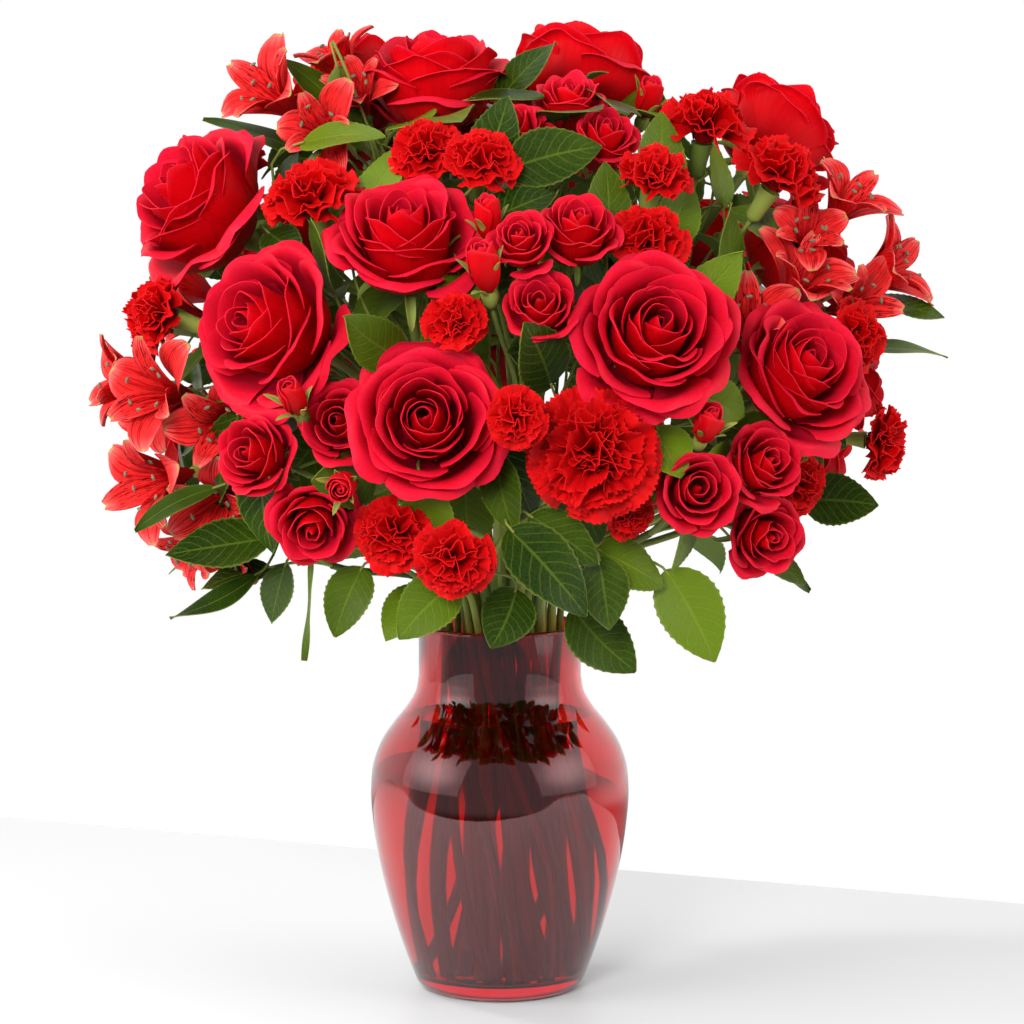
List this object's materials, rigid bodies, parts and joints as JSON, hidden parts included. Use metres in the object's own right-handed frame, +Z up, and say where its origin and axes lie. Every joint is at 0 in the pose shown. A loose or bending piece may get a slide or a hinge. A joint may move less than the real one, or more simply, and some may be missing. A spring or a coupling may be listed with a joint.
{
  "type": "cut flower bouquet in vase",
  "caption": "Rounded bouquet of red roses, spray roses, carnations and alstroemeria with green foliage, in a shouldered red glass vase of water",
  "frame": {"origin": "Centre of the flat underside of the vase, which stands on the surface", "axes": "+Z up along the vase's axis, -Y towards the bouquet's front, +X to the right as seen from the front"},
  "size_m": [0.4536, 0.4241, 0.527],
  "materials": {
    "ruby_glass": "clear red glass with a soft iridescent sheen, smooth inside and out",
    "water": "clear water",
    "rose_petal": "velvety crimson petals",
    "carnation_petal": "ruffled red petals with a pinked edge",
    "spray_rose_petal": "smaller crimson petals, some buds still closed",
    "alstroemeria_petal": "thin red petals with dark streaks",
    "stem": "fresh green stem, slightly waxy",
    "leaf": "fresh green leaf, waxy above and paler beneath"
  },
  "bodies": {
    "root": {"vase": "ruby_glass", "rose_bloom_1": "rose_petal", "rose_bloom_2": "rose_petal", "rose_bloom_3": "rose_petal", "rose_bloom_4": "rose_petal", "rose_bloom_5": "rose_petal", "rose_bloom_6": "rose_petal", "rose_bloom_7": "rose_petal", "rose_bloom_8": "rose_petal", "rose_bloom_9": "rose_petal", "rose_bloom_10": "rose_petal", "rose_bloom_11": "rose_petal", "rose_bloom_12": "rose_petal", "rose_bloom_13": "rose_petal", "rose_bloom_14": "rose_petal", "carnation_bloom_1": "carnation_petal", "rose_stem_1": "stem", "rose_stem_2": "stem", "rose_stem_3": "stem", "rose_stem_4": "stem", "rose_stem_5": "stem", "rose_stem_6": "stem", "rose_stem_7": "stem", "rose_stem_8": "stem", "rose_stem_9": "stem", "rose_stem_10": "stem", "rose_stem_11": "stem", "rose_stem_12": "stem", "rose_stem_13": "stem", "rose_stem_14": "stem", "carnation_stem_1": "stem", "spray_rose_1": "spray_rose_petal", "spray_rose_2": "spray_rose_petal", "spray_rose_3": "spray_rose_petal", "spray_rose_4": "spray_rose_petal", "spray_rose_5": "spray_rose_petal", "spray_rose_6": "spray_rose_petal", "spray_rose_7": "spray_rose_petal", "mini_carnation_1": "carnation_petal", "mini_carnation_2": "carnation_petal", "mini_carnation_3": "carnation_petal", "mini_carnation_4": "carnation_petal", "mini_carnation_5": "carnation_petal", "mini_carnation_6": "carnation_petal", "mini_carnation_7": "carnation_petal", "mini_carnation_8": "carnation_petal", "alstroemeria_1": "alstroemeria_petal", "alstroemeria_2": "alstroemeria_petal", "alstroemeria_3": "alstroemeria_petal", "alstroemeria_4": "alstroemeria_petal", "foliage_1": "leaf", "foliage_2": "leaf", "foliage_3": "leaf", "foliage_4": "leaf", "foliage_5": "leaf", "foliage_6": "leaf", "water": "water"}
  },
  "joints": []
}
